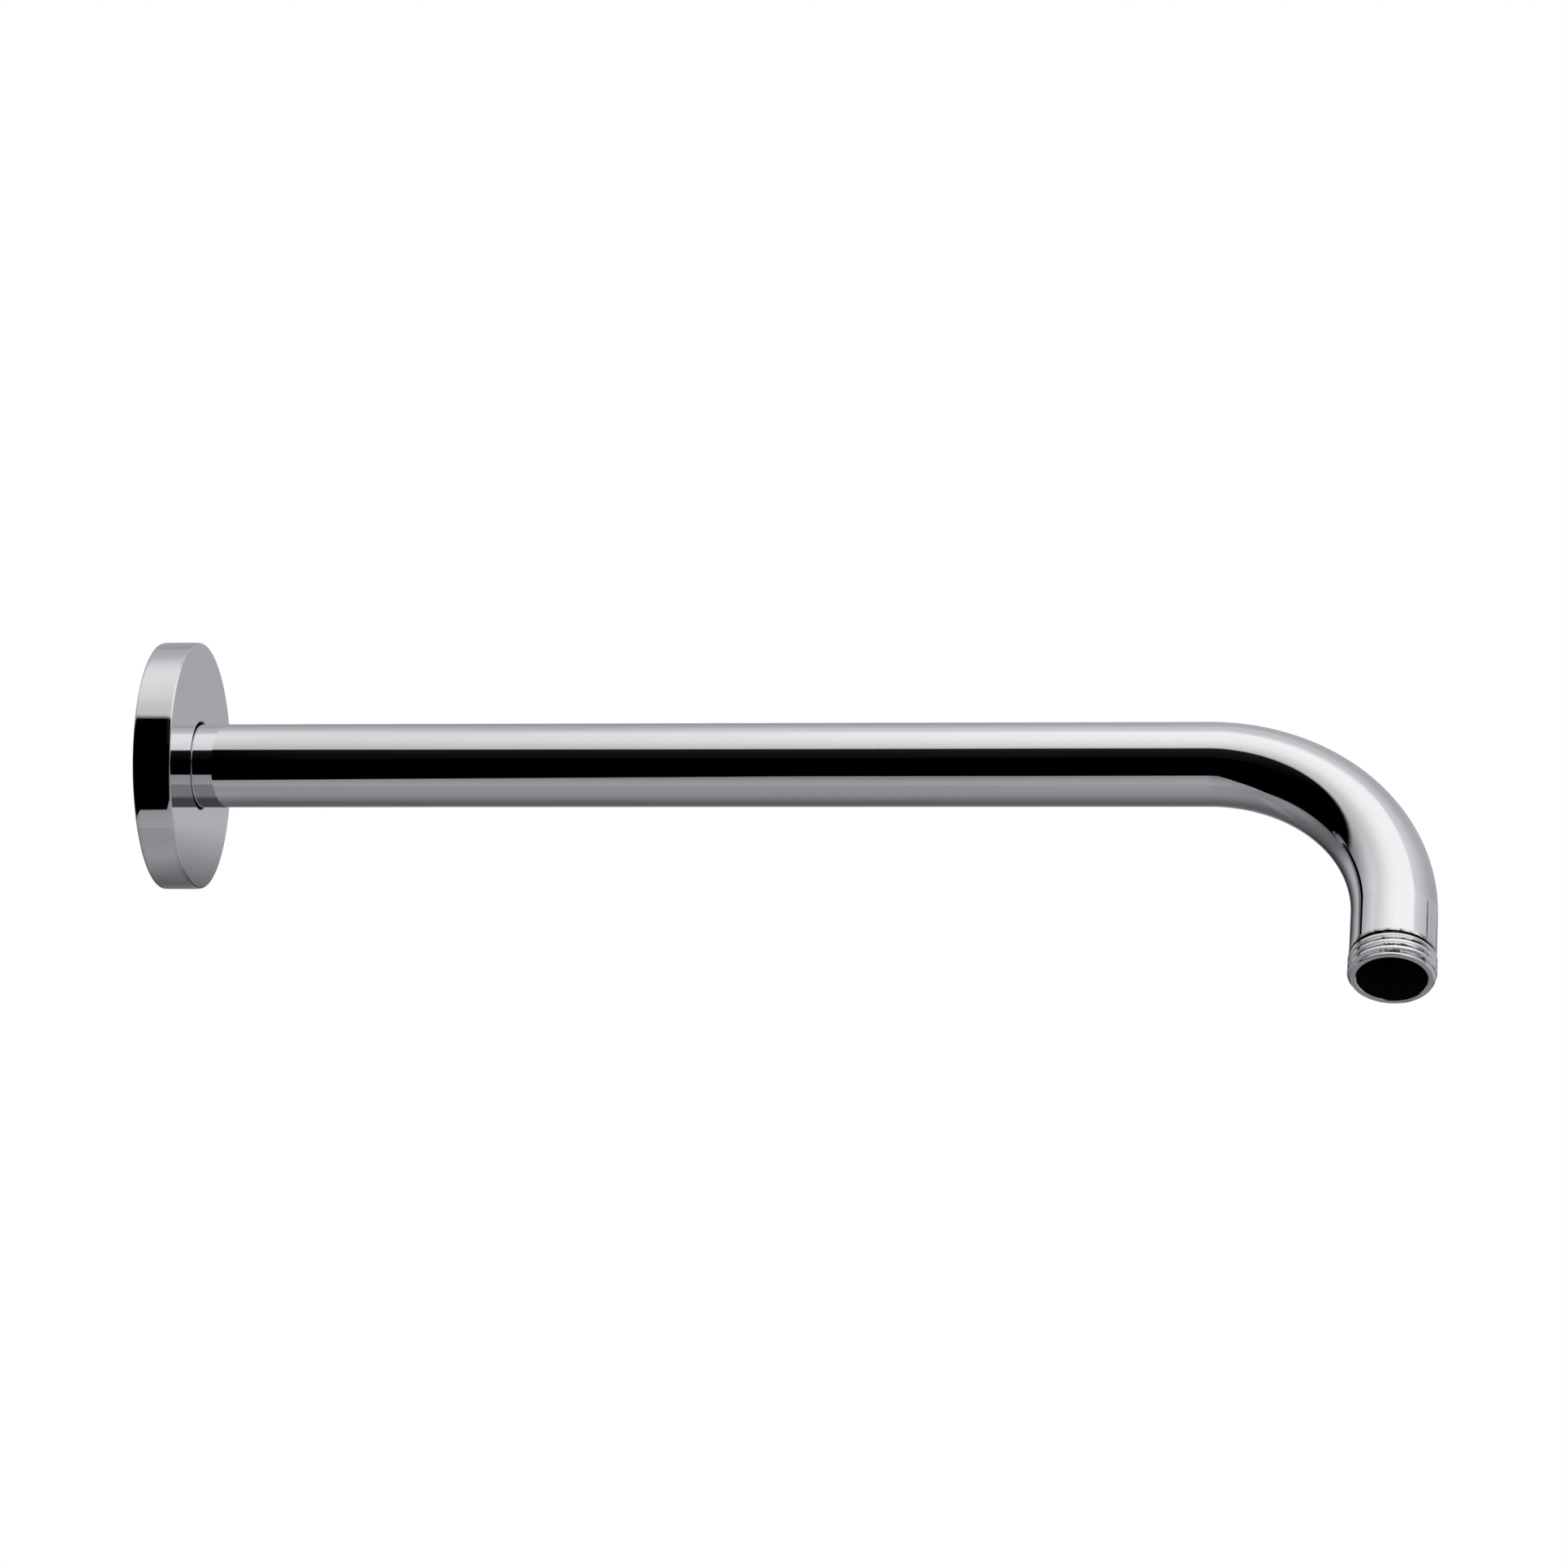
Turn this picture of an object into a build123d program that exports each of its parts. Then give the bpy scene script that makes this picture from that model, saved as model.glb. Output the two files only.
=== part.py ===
from build123d import *
import os

# Wall shower arm: a bent chromed tube, a sliding wall flange and the rubber ring that grips the tube.
# Millimetres. Origin on the tube's axis in the plane of the wall, +X away from the wall, +Z up.

# Pipe thread, half inch, at the small end of its tolerance
thread_diameter = 20.7
thread_depth = 1.15
thread_length = 6.9
thread_root_wall = 0.95
undercut_width = 0.9
lead_chamfer = 0.65

# Tube
reach = 300.0
bend_radius = 45.0
outlet_tail = 11.2
tube_wall = 1.85
shoulder_chamfer = 0.25
bore_chamfer = 0.2

# Wall flange
flange_diameter = 60.0
flange_depth = 9.3
rim_wall = 2.0
face_wall = 2.2
collar_wall = 2.0
inner_corner_chamfer = 0.8
front_edge_bevel = 0.4
bore_edge_bevel = 0.25
back_edge_bevel = 0.4
thread_clearance = 0.35

# Rubber ring and its groove in the flange's collar
ring_width = 2.0
ring_seat_depth = 1.4
ring_running_clearance = 0.05
ring_seat_clearance = 0.05
ring_side_clearance = 0.15
groove_front_lip = 1.4
groove_back_lip = 1.0

# Gap along the tube between the inlet thread's shoulder and the flange's collar
shoulder_gap = 0.5

# Radii of the tube, worked out from the thread
thread_radius = thread_diameter / 2
undercut_radius = thread_radius - thread_depth
bore_radius = undercut_radius - thread_root_wall
tube_radius = bore_radius + tube_wall

# Radii of the flange and of its ring, worked out from the tube
flange_radius = flange_diameter / 2
flange_bore_radius = max(thread_radius, tube_radius) + thread_clearance
ring_inner_radius = tube_radius + ring_running_clearance
ring_outer_radius = flange_bore_radius + ring_seat_depth - ring_seat_clearance
ring_bead_radius = ring_width / 2
groove_radius = flange_bore_radius + ring_seat_depth
collar_radius = groove_radius + collar_wall

# Stations along the tube
groove_front = flange_depth - groove_front_lip
groove_back = groove_front - ring_width - 2 * ring_side_clearance
collar_back = groove_back - groove_back_lip
ring_station = (groove_front + groove_back) / 2
inlet_shoulder = collar_back - shoulder_gap
outlet_shoulder = -(bend_radius + outlet_tail)

os.makedirs("parts", exist_ok=True)

# Threaded end, turned about Z: shoulder at zero, then the undercut, the thread's land and its lead chamfer
with BuildPart() as threaded_end:
    with BuildSketch(Plane.XZ):
        with BuildLine():
            Polyline(
                (bore_radius, 0),
                (undercut_radius, 0),
                (undercut_radius, undercut_width),
                (thread_radius, undercut_width),
                (thread_radius, thread_length - lead_chamfer),
                (thread_radius - lead_chamfer, thread_length),
                (bore_radius + bore_chamfer, thread_length),
                (bore_radius, thread_length - bore_chamfer),
                close=True,
            )
        make_face()
    revolve(axis=Axis.Z)

# Tube: one ring section swept along the arm, round the bend and down to the outlet
with BuildPart() as arm_tube:
    with BuildLine(Plane.XZ) as centre_line:
        FilletPolyline(
            (inlet_shoulder, 0),
            (reach, 0),
            (reach, outlet_shoulder),
            radius=bend_radius,
        )
    with BuildSketch(Plane(origin=(inlet_shoulder, 0, 0), x_dir=(0, 1, 0), z_dir=(1, 0, 0))):
        Circle(tube_radius)
        Circle(bore_radius, mode=Mode.SUBTRACT)
    sweep()
    tube_edges = arm_tube.edges().filter_by(GeomType.CIRCLE)
    inlet_edge = tube_edges.group_by(Axis.X)[0].sort_by(SortBy.RADIUS)[-1]
    outlet_edge = tube_edges.group_by(Axis.Z)[0].sort_by(SortBy.RADIUS)[-1]
    chamfer([inlet_edge, outlet_edge], length=shoulder_chamfer)
    with Locations(
        Plane(origin=(inlet_shoulder, 0, 0), z_dir=(-1, 0, 0)),
        Plane(origin=(reach, 0, outlet_shoulder), z_dir=(0, 0, -1)),
    ):
        add(threaded_end.part)

# Flange: a cup open to the wall, with a collar behind its face that holds the ring's groove
with BuildPart() as wall_flange:
    with BuildSketch(Plane.XZ):
        with BuildLine():
            Polyline(
                (0, flange_radius),
                (flange_depth, flange_radius),
                (flange_depth, flange_bore_radius),
                (groove_front, flange_bore_radius),
                (groove_front, groove_radius),
                (groove_back, groove_radius),
                (groove_back, flange_bore_radius),
                (collar_back, flange_bore_radius),
                (collar_back, collar_radius),
                (flange_depth - face_wall, collar_radius),
                (flange_depth - face_wall, flange_radius - rim_wall),
                (0, flange_radius - rim_wall),
                close=True,
            )
        make_face()
    revolve(axis=Axis.X)
    hollow_floor = wall_flange.faces().filter_by(Plane.YZ).sort_by(SortBy.AREA)[-2]
    chamfer(hollow_floor.edges(), length=inner_corner_chamfer)
    front_edges = wall_flange.faces().sort_by(Axis.X)[-1].edges().sort_by(SortBy.RADIUS)
    chamfer(front_edges[-1], length=front_edge_bevel)
    chamfer(front_edges[0], length=bore_edge_bevel)
    back_edges = wall_flange.faces().filter_by(Plane.YZ).sort_by(Axis.X)[0].edges()
    chamfer(back_edges, length=back_edge_bevel)

# Rubber ring: flat where it seats in the collar's groove, with a round bead that grips the tube
with BuildPart() as rubber_ring:
    with BuildSketch(Plane.XZ):
        with BuildLine():
            seat = Polyline(
                (ring_station - ring_bead_radius, ring_inner_radius + ring_bead_radius),
                (ring_station - ring_bead_radius, ring_outer_radius),
                (ring_station + ring_bead_radius, ring_outer_radius),
                (ring_station + ring_bead_radius, ring_inner_radius + ring_bead_radius),
            )
            ThreePointArc(seat @ 0, (ring_station, ring_inner_radius), seat @ 1)
        make_face()
    revolve(axis=Axis.X)

arm_tube.part.label = "arm_tube"
wall_flange.part.label = "wall_flange"
rubber_ring.part.label = "rubber_ring"

export_step(arm_tube.part, "parts/arm_tube.step")
export_step(wall_flange.part, "parts/wall_flange.step")
export_step(rubber_ring.part, "parts/rubber_ring.step")
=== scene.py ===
from math import atan2, cos, degrees, pi, radians, sin, tan, tau
from typing import NamedTuple

import bpy
import numpy as np
from bpy.props import FloatProperty, FloatVectorProperty, IntProperty, PointerProperty
from bpy.types import Operator, Panel, PropertyGroup
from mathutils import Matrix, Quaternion, Vector


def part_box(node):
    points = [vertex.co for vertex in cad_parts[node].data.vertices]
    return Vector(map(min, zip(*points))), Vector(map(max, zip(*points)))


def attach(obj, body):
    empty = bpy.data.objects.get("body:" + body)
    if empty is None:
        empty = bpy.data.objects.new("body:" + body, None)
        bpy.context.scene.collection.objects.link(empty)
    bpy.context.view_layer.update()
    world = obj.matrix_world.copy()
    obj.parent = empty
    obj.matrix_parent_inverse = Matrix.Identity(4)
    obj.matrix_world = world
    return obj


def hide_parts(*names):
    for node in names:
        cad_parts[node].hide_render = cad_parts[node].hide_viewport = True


bl_info = {
    "name": "Wall Shower Arm",
    "version": (1, 0, 0),
    "blender": (4, 5, 0),
    "location": "View3D > Sidebar > Shower Arm",
    "description": "Dresses a wall shower arm: chromed tube with cut threads, sliding wall flange and rubber ring",
    "category": "Add Mesh",
}

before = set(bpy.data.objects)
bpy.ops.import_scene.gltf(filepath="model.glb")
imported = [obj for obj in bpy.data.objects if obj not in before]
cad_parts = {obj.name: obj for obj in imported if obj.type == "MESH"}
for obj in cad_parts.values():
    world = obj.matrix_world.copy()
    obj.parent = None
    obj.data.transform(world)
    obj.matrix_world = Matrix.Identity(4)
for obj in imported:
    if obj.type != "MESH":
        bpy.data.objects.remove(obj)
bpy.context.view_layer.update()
arm_low, arm_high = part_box("arm_tube")
flange_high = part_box("wall_flange")[1]
ring_low, ring_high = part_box("rubber_ring")

MM = 0.001
SHARP_ANGLE = radians(32)


# Settings

def size(name, description, default):
    return FloatProperty(name=name, description=description, default=default, min=0.0, precision=5, unit="LENGTH")


def place(name, description, default):
    return FloatProperty(name=name, description=description, default=default, precision=5, unit="LENGTH")


def spot(name, description, default):
    return FloatVectorProperty(
        name=name, description=description, default=default, size=3, subtype="TRANSLATION", unit="LENGTH"
    )


def tint(name, description, default):
    return FloatVectorProperty(
        name=name, description=description, default=default, size=3, min=0.0, max=1.0, subtype="COLOR"
    )


class ShowerArmTube(PropertyGroup):
    tube_radius: size("Tube radius", "Outer radius of the bent tube", 10.1 * MM)
    bore_radius: size("Bore radius", "Radius of the waterway", 8.25 * MM)
    bend_radius: size("Bend radius", "Radius of the bend, measured on the tube's axis", 45 * MM)
    thread_radius: size("Thread radius", "Outer radius of the pipe thread", arm_high.y)
    thread_pitch: size("Thread pitch", "Length of one turn of the half inch pipe thread", 1.814 * MM)
    thread_depth: size("Thread depth", "Depth of the cut thread", 0.9 * MM)
    thread_length: size("Threaded end", "Length of a threaded end, undercut included", 6.9 * MM)
    first_crest: size("First crest", "Distance of the thread's first full crest from the outlet's end", 1.75 * MM)
    undercut_width: size("Undercut width", "Width of the groove between the tube and its thread", 0.9 * MM)
    undercut_radius: size("Undercut radius", "Radius at the floor of the undercut", 9.2 * MM)
    lead_depth: size("Lead depth", "Depth of the turned-down lead at the thread's start", 0.65 * MM)
    lead_land: size("Lead land", "Length of the turned-down lead", 0.5 * MM)
    lead_bevel: size("Lead bevel", "Bevel on the lead's end", 0.12 * MM)
    shoulder_drop: size("Shoulder drop", "Radial size of the chamfer on the tube where the undercut begins", 0.35 * MM)
    shoulder_run: size("Shoulder run", "Length of the chamfer on the tube where the undercut begins", 0.2 * MM)
    lip_length: size("Lip length", "Length of the worn lip of the tube over the outlet's undercut", 0.55 * MM)
    lip_overhang: size("Lip overhang", "How far the lip stands over the undercut", 0.2 * MM)
    lip_drop: size("Lip drop", "Radial fall of the lip", 0.15 * MM)
    lip_nick: size("Lip nick", "Depth of the nicks that the cutter left on the lip", 0.025 * MM)
    bore_chamfer: size("Bore chamfer", "Chamfer on the mouth of the waterway", 0.2 * MM)
    inlet_end: place("Inlet end", "Place of the inlet's end face along the arm", arm_low.x)
    outlet_end: place("Outlet end", "Height of the outlet's end face", arm_low.z)
    reach: place("Reach", "Distance of the outlet's axis from the wall", arm_high.x - arm_high.y)
    segments: IntProperty(name="Segments", description="Points round the tube", default=192, min=24)


class ShowerArmFlange(PropertyGroup):
    radius: size("Radius", "Outer radius of the flange", flange_high.y)
    depth: size("Depth", "How far the flange stands off the wall", flange_high.x)
    rim_wall: size("Rim wall", "Thickness of the rim", 2 * MM)
    face_wall: size("Face wall", "Thickness of the face", 2.2 * MM)
    bore_radius: size("Bore radius", "Radius of the hole for the tube", 10.7 * MM)
    collar_radius: size("Collar radius", "Outer radius of the collar behind the face", 14.1 * MM)
    collar_back: size("Collar back", "Distance of the collar's end from the wall", 4.6 * MM)
    groove_radius: size("Groove radius", "Radius at the floor of the ring's groove", 12.1 * MM)
    groove_back: size("Groove back", "Distance of the groove's back wall from the wall", 5.6 * MM)
    groove_front: size("Groove front", "Distance of the groove's front wall from the wall", 7.9 * MM)
    front_round: size("Front edge", "Rounding of the rim's front edge", 0.4 * MM)
    bore_round: size("Bore edge", "Rounding of the bore's front edge", 0.25 * MM)
    back_round: size("Back edge", "Rounding of the rim's outer edge at the wall", 0.6 * MM)
    crown_radius: size("Crown", "Radius of the soft crown that polishing leaves beside the rim's edges", 8 * MM)
    crown_turn: FloatProperty(
        name="Crown turn", description="Angle that the crown turns before the edge", default=radians(6), subtype="ANGLE"
    )
    turned_round: size("Turned edge", "Rounding of the edges behind the face", 0.3 * MM)
    inner_round: size("Inner corner", "Rounding of the corners inside the cup", 0.8 * MM)
    segments: IntProperty(name="Segments", description="Points round the flange", default=256, min=24)


class ShowerArmRing(PropertyGroup):
    inner_radius: size("Inner radius", "Radius at the bead that grips the tube", 10.15 * MM)
    outer_radius: size("Outer radius", "Radius at the ring's seat", ring_high.y)
    back: place("Back", "Place of the ring's back face along the arm", ring_low.x)
    front: place("Front", "Place of the ring's front face along the arm", ring_high.x)
    flash: size("Parting line", "Height of the moulding line on the bead", 0.02 * MM)
    segments: IntProperty(name="Segments", description="Points round the ring", default=160, min=24)


class ShowerArmFinish(PropertyGroup):
    chrome: tint("Chrome", "Colour of the polished plating", (0.79, 0.798, 0.81))
    chrome_haze: tint("Chrome haze", "Colour of the plating where the buffing left a haze", (0.77, 0.778, 0.79))
    thread: tint("Thread", "Colour of the thinly plated thread", (0.84, 0.84, 0.85))
    # The thread grime colour is also painted shade: it darkens the thread's grooves and turns its undercut near black
    thread_grime_and_shade: tint("Thread grime", "Colour of the tears and dirt in the thread", (0.012, 0.012, 0.013))
    back: tint("Turned back", "Colour of the plated but unpolished back", (0.52, 0.52, 0.53))
    back_stain: tint("Back stain", "Colour of the thin plating on the back", (0.4, 0.38, 0.34))
    # The waterway colour is near black as painted shade inside the tube
    waterway: tint("Waterway", "Colour of the dull metal in the waterway", (0.003, 0.0028, 0.0026))
    waterway_film: tint("Waterway film", "Colour of the oxide film in the waterway", (0.001, 0.001, 0.001))
    rubber: tint("Rubber", "Colour of the ring", (0.014, 0.014, 0.015))
    rubber_bloom: tint("Rubber bloom", "Colour of the bloom on the ring", (0.04, 0.04, 0.042))


class ShowerArmStage(PropertyGroup):
    camera_place: spot("Camera", "Where the camera stands", (0.36648, -1.08712, -0.86578))
    camera_aim: spot("Aim", "Point at the middle of the picture", (0.149290, 0.021388, 0.011110))
    camera_roll: FloatProperty(
        name="Roll", description="Turn of the camera about its line of sight", subtype="ANGLE", default=radians(-6.792)
    )
    focal_length: FloatProperty(
        name="Focal length", description="Lens on a 36 mm sensor", default=134.57, unit="CAMERA"
    )
    tent_radius: size("Tent radius", "Radius of the grey tent round the arm", 8.0)
    floor_drop: size("Floor drop", "Height of the arm over the floor", 2.1)
    floor: tint("Floor", "Colour of the floor", (0.9, 0.9, 0.9))
    card: tint("Card", "Tint of the grey cards", (0.94, 0.95, 1.0))
    room_level: FloatProperty(
        name="Room light", description="Brightness of the white room on matt surfaces", default=0.75, min=0.0
    )
    key_power: FloatProperty(name="Key lamp", description="Power of the key lamp", default=60.0, unit="POWER")


# Shapes

def along_x(place_x):
    """Centre and outward direction of a ring on the axis of the straight run."""
    return (place_x, 0.0, 0.0), (0.0, 0.0, 1.0)


def arc(centre, radius, start, end, steps):
    """Points of a rounding in a turned profile, as (along the axis, radius)."""
    turns = [radians(start + (end - start) * i / steps) for i in range(steps + 1)]
    return [(centre[0] + radius * cos(t), centre[1] + radius * sin(t)) for t in turns]


def skin(name, rows, segments, station=along_x, values=None):
    """Closed skin over rings. Each row is (place along the axis, radius or radii, finish of the band that follows)."""
    turn = np.arange(segments) * tau / segments
    points = np.empty((len(rows), segments, 3))
    for i, (along, radius, _) in enumerate(rows):
        centre, out = station(along)
        spoke = np.outer(np.cos(turn), (0.0, 1.0, 0.0)) + np.outer(np.sin(turn), out)
        points[i] = np.array(centre) + spoke * np.broadcast_to(radius, (segments,))[:, None]
    row, col = np.meshgrid(np.arange(len(rows)), np.arange(segments), indexing="ij")
    next_row, next_col = (row + 1) % len(rows), (col + 1) % segments
    quads = np.stack(
        [row * segments + col, row * segments + next_col, next_row * segments + next_col, next_row * segments + col],
        axis=-1,
    )
    mesh = bpy.data.meshes.new(name)
    mesh.from_pydata(points.reshape(-1, 3).tolist(), [], quads.reshape(-1, 4).tolist())
    finishes = np.repeat([finish for _, _, finish in rows], segments)
    mesh.polygons.foreach_set("material_index", finishes.astype(np.int32))
    for label, by_row in (values or {}).items():
        stored = mesh.attributes.new(label, "FLOAT", "POINT")
        stored.data.foreach_set("value", np.concatenate(by_row).astype(np.float32))
    mesh.shade_smooth()
    mesh.set_sharp_from_angle(angle=SHARP_ANGLE)
    if mesh.validate():
        raise RuntimeError(f"{name} has faulty faces")
    return mesh


def add_piece(name, mesh, finishes, body, node):
    """Puts a finished mesh in the scene in place of its CAD node."""
    for finish in finishes:
        mesh.materials.append(finish)
    piece = bpy.data.objects.new(name, mesh)
    bpy.context.scene.collection.objects.link(piece)
    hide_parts(node)
    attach(piece, body)


THREAD_HALF_ANGLE = radians(27.5)
THREAD_CREST_SHARE = 0.68
THREAD_EASE = 0.03


def thread_form(turns, pitch, depth):
    """Height over the root of a 55 degree thread with flat crests and eased corners, by turns from a crest."""
    flank = depth * tan(THREAD_HALF_ANGLE)
    crest = (pitch - 2 * flank) * THREAD_CREST_SHARE
    from_crest = np.abs((turns + 0.5) % 1.0 - 0.5) * pitch
    climb = (crest / 2 + flank - from_crest) / flank
    return depth * (np.hypot(climb, THREAD_EASE) - np.hypot(climb - 1, THREAD_EASE) + 1) / 2


# Finishes

def add_node(tree, kind, x, y, **values):
    node = tree.nodes.new(kind)
    node.location = (x, y)
    for key, value in values.items():
        setattr(node, key, value)
    return node


def set_ramp(node, stops):
    """Stops are (position, colour or grey)."""
    elements = node.color_ramp.elements
    while len(elements) < len(stops):
        elements.new(0.5)
    for element, (position, _) in zip(elements, stops):
        element.position = position
    for element, (_, colour) in zip(elements, stops):
        rgb = (colour,) * 3 if isinstance(colour, (int, float)) else tuple(colour)
        element.color = (*rgb, 1.0)


def new_material(name):
    material = bpy.data.materials.new(name)
    material.use_nodes = True
    material.node_tree.nodes.clear()
    return material, material.node_tree


def surface(tree, **values):
    """Principled shader with its output. Values are set on the shader's own sockets."""
    shader = add_node(tree, "ShaderNodeBsdfPrincipled", 300, 0)
    for key, value in values.items():
        shader.inputs[key.replace("_", " ").title().replace("Ior", "IOR")].default_value = value
    output = add_node(tree, "ShaderNodeOutputMaterial", 600, 0)
    tree.links.new(shader.outputs["BSDF"], output.inputs["Surface"])
    return shader


def mix_shaders(tree, share, first, second):
    """Material surface that goes from the first shader to the second by a share."""
    mix = add_node(tree, "ShaderNodeMixShader", 250, 0)
    output = add_node(tree, "ShaderNodeOutputMaterial", 450, 0)
    tree.links.new(share, mix.inputs["Fac"])
    tree.links.new(first, mix.inputs[1])
    tree.links.new(second, mix.inputs[2])
    tree.links.new(mix.outputs["Shader"], output.inputs["Surface"])


def combine(tree, x, y, operation, first, second, clamp=False):
    """Sum, product or larger one of two values."""
    node = add_node(tree, "ShaderNodeMath", x, y, operation=operation, use_clamp=clamp)
    tree.links.new(first, node.inputs[0])
    tree.links.new(second, node.inputs[1])
    return node.outputs["Value"]


def remap(tree, x, y, source, low=0.0, high=1.0, start=0.0, end=1.0):
    """Value that goes from low to high while its source goes from start to end."""
    node = add_node(tree, "ShaderNodeMapRange", x, y)
    for label, value in (("From Min", start), ("From Max", end), ("To Min", low), ("To Max", high)):
        node.inputs[label].default_value = value
    tree.links.new(source, node.inputs["Value"])
    return node.outputs["Result"]


def noise(tree, x, y, vector, scale, detail, roughness=0.5):
    texture = add_node(tree, "ShaderNodeTexNoise", x, y)
    texture.inputs["Detail"].default_value = detail
    texture.inputs["Roughness"].default_value = roughness
    tree.links.new(vector, texture.inputs["Vector"])
    tree.links.new(scale, texture.inputs["Scale"])
    return texture.outputs["Fac"]


def group_tree(name, inputs, outputs):
    tree = bpy.data.node_groups.new(name, "ShaderNodeTree")
    for label, default in inputs:
        socket = tree.interface.new_socket(label, in_out="INPUT", socket_type="NodeSocketFloat")
        socket.default_value = default
    for label in outputs:
        tree.interface.new_socket(label, in_out="OUTPUT", socket_type="NodeSocketFloat")
    return tree, add_node(tree, "NodeGroupInput", -900, 0), add_node(tree, "NodeGroupOutput", 600, 0)


HAIRLINE_STRETCH = (0.06, 1.0, 1.0)
PIT_FADE = 0.16
LATHE_RING_STRETCH = (0.6, 1.0, 1.0)
LATHE_RING_SCALE = 5200.0


def buffing_marks():
    """Haze and height that buffing leaves on plated metal: long waves, fine haze and hairlines."""
    name = "Buffing Marks"
    if name in bpy.data.node_groups:
        return bpy.data.node_groups[name]
    tree, inputs, outputs = group_tree(
        name,
        [("Wave Scale", 18.0), ("Haze Scale", 140.0), ("Hairline Scale", 900.0), ("Hairline Share", 0.15)],
        ["Haze", "Height"],
    )
    link, given = tree.links.new, inputs.outputs
    where = add_node(tree, "ShaderNodeTexCoord", -1100, 300).outputs["Object"]
    stretch = add_node(tree, "ShaderNodeMapping", -750, -100)
    stretch.inputs["Scale"].default_value = HAIRLINE_STRETCH
    link(where, stretch.inputs["Vector"])
    waves = noise(tree, -600, 400, where, given["Wave Scale"], detail=1.0)
    haze = noise(tree, -600, 150, where, given["Haze Scale"], detail=5.0, roughness=0.62)
    hairlines = noise(tree, -600, -100, stretch.outputs["Vector"], given["Hairline Scale"], detail=3.0)
    fine = combine(tree, -300, -100, "MULTIPLY", hairlines, given["Hairline Share"])
    link(combine(tree, 0, 0, "ADD", haze, fine, clamp=True), outputs.inputs["Haze"])
    link(combine(tree, 0, 200, "ADD", waves, fine), outputs.inputs["Height"])
    return tree


def cutting_marks():
    """Pits and tears that a cutting tool leaves in plated brass."""
    name = "Cutting Marks"
    if name in bpy.data.node_groups:
        return bpy.data.node_groups[name]
    tree, inputs, outputs = group_tree(
        name,
        [("Pit Scale", 2600.0), ("Tear Scale", 700.0), ("Pit Share", 0.5), ("Streak", 1.0), ("Pit Start", 0.5)],
        ["Pits", "Height"],
    )
    link, given = tree.links.new, inputs.outputs
    where = add_node(tree, "ShaderNodeTexCoord", -1300, 300).outputs["Object"]
    level = add_node(tree, "ShaderNodeCombineXYZ", -1100, 100)
    level.inputs["Z"].default_value = 1.0
    for axis in "XY":
        link(given["Streak"], level.inputs[axis])
    drawn = add_node(tree, "ShaderNodeVectorMath", -850, 300, operation="MULTIPLY")
    link(where, drawn.inputs[0])
    link(level.outputs["Vector"], drawn.inputs[1])
    pits = noise(tree, -600, 300, drawn.outputs["Vector"], given["Pit Scale"], detail=4.0, roughness=0.7)
    tears = noise(tree, -600, 0, drawn.outputs["Vector"], given["Tear Scale"], detail=3.0)
    blend = add_node(tree, "ShaderNodeMix", -300, 150, data_type="FLOAT")
    link(given["Pit Share"], blend.inputs["Factor"])
    link(tears, blend.inputs["A"])
    link(pits, blend.inputs["B"])
    full = add_node(tree, "ShaderNodeMath", -300, -100, operation="ADD")
    full.inputs[1].default_value = PIT_FADE
    link(given["Pit Start"], full.inputs[0])
    mask = add_node(tree, "ShaderNodeMapRange", 0, 200, interpolation_type="SMOOTHSTEP")
    link(given["Pit Start"], mask.inputs["From Min"])
    link(full.outputs["Value"], mask.inputs["From Max"])
    link(blend.outputs["Result"], mask.inputs["Value"])
    link(mask.outputs["Result"], outputs.inputs["Pits"])
    link(blend.outputs["Result"], outputs.inputs["Height"])
    return tree


def place_group(tree, group, x, y, **values):
    node = add_node(tree, "ShaderNodeGroup", x, y, node_tree=group)
    for key, value in values.items():
        node.inputs[key.replace("_", " ").title()].default_value = value
    return node


def dress(tree, colours, mask, rough, height, relief, **values):
    """Principled surface with a mask between two colours, a roughness and a height that is some relief deep."""
    shader = surface(tree, **values)
    colour = add_node(tree, "ShaderNodeMix", -100, 200, data_type="RGBA")
    for label, tone in zip("AB", colours):
        colour.inputs[label].default_value = (*tone, 1.0)
    bump = add_node(tree, "ShaderNodeBump", 50, -300)
    bump.inputs["Distance"].default_value = relief
    link = tree.links.new
    link(mask, colour.inputs["Factor"])
    link(colour.outputs["Result"], shader.inputs["Base Color"])
    link(rough, shader.inputs["Roughness"])
    link(height, bump.inputs["Height"])
    link(bump.outputs["Normal"], shader.inputs["Normal"])


def polished_chrome(finish):
    """Mirror plating with a breath of buffing haze."""
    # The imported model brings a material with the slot's name, so this one has a name of its own
    name = "buffed_chrome"
    if name in bpy.data.materials:
        return bpy.data.materials[name]
    material, tree = new_material(name)
    marks = place_group(tree, buffing_marks(), -600, 0).outputs
    rough = remap(tree, -200, 0, marks["Haze"], low=0.006, high=0.03, start=0.3, end=0.8)
    colours = finish.chrome, finish.chrome_haze
    dress(tree, colours, marks["Haze"], rough, marks["Height"], relief=0.012 * MM, metallic=1.0)
    return material


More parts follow.
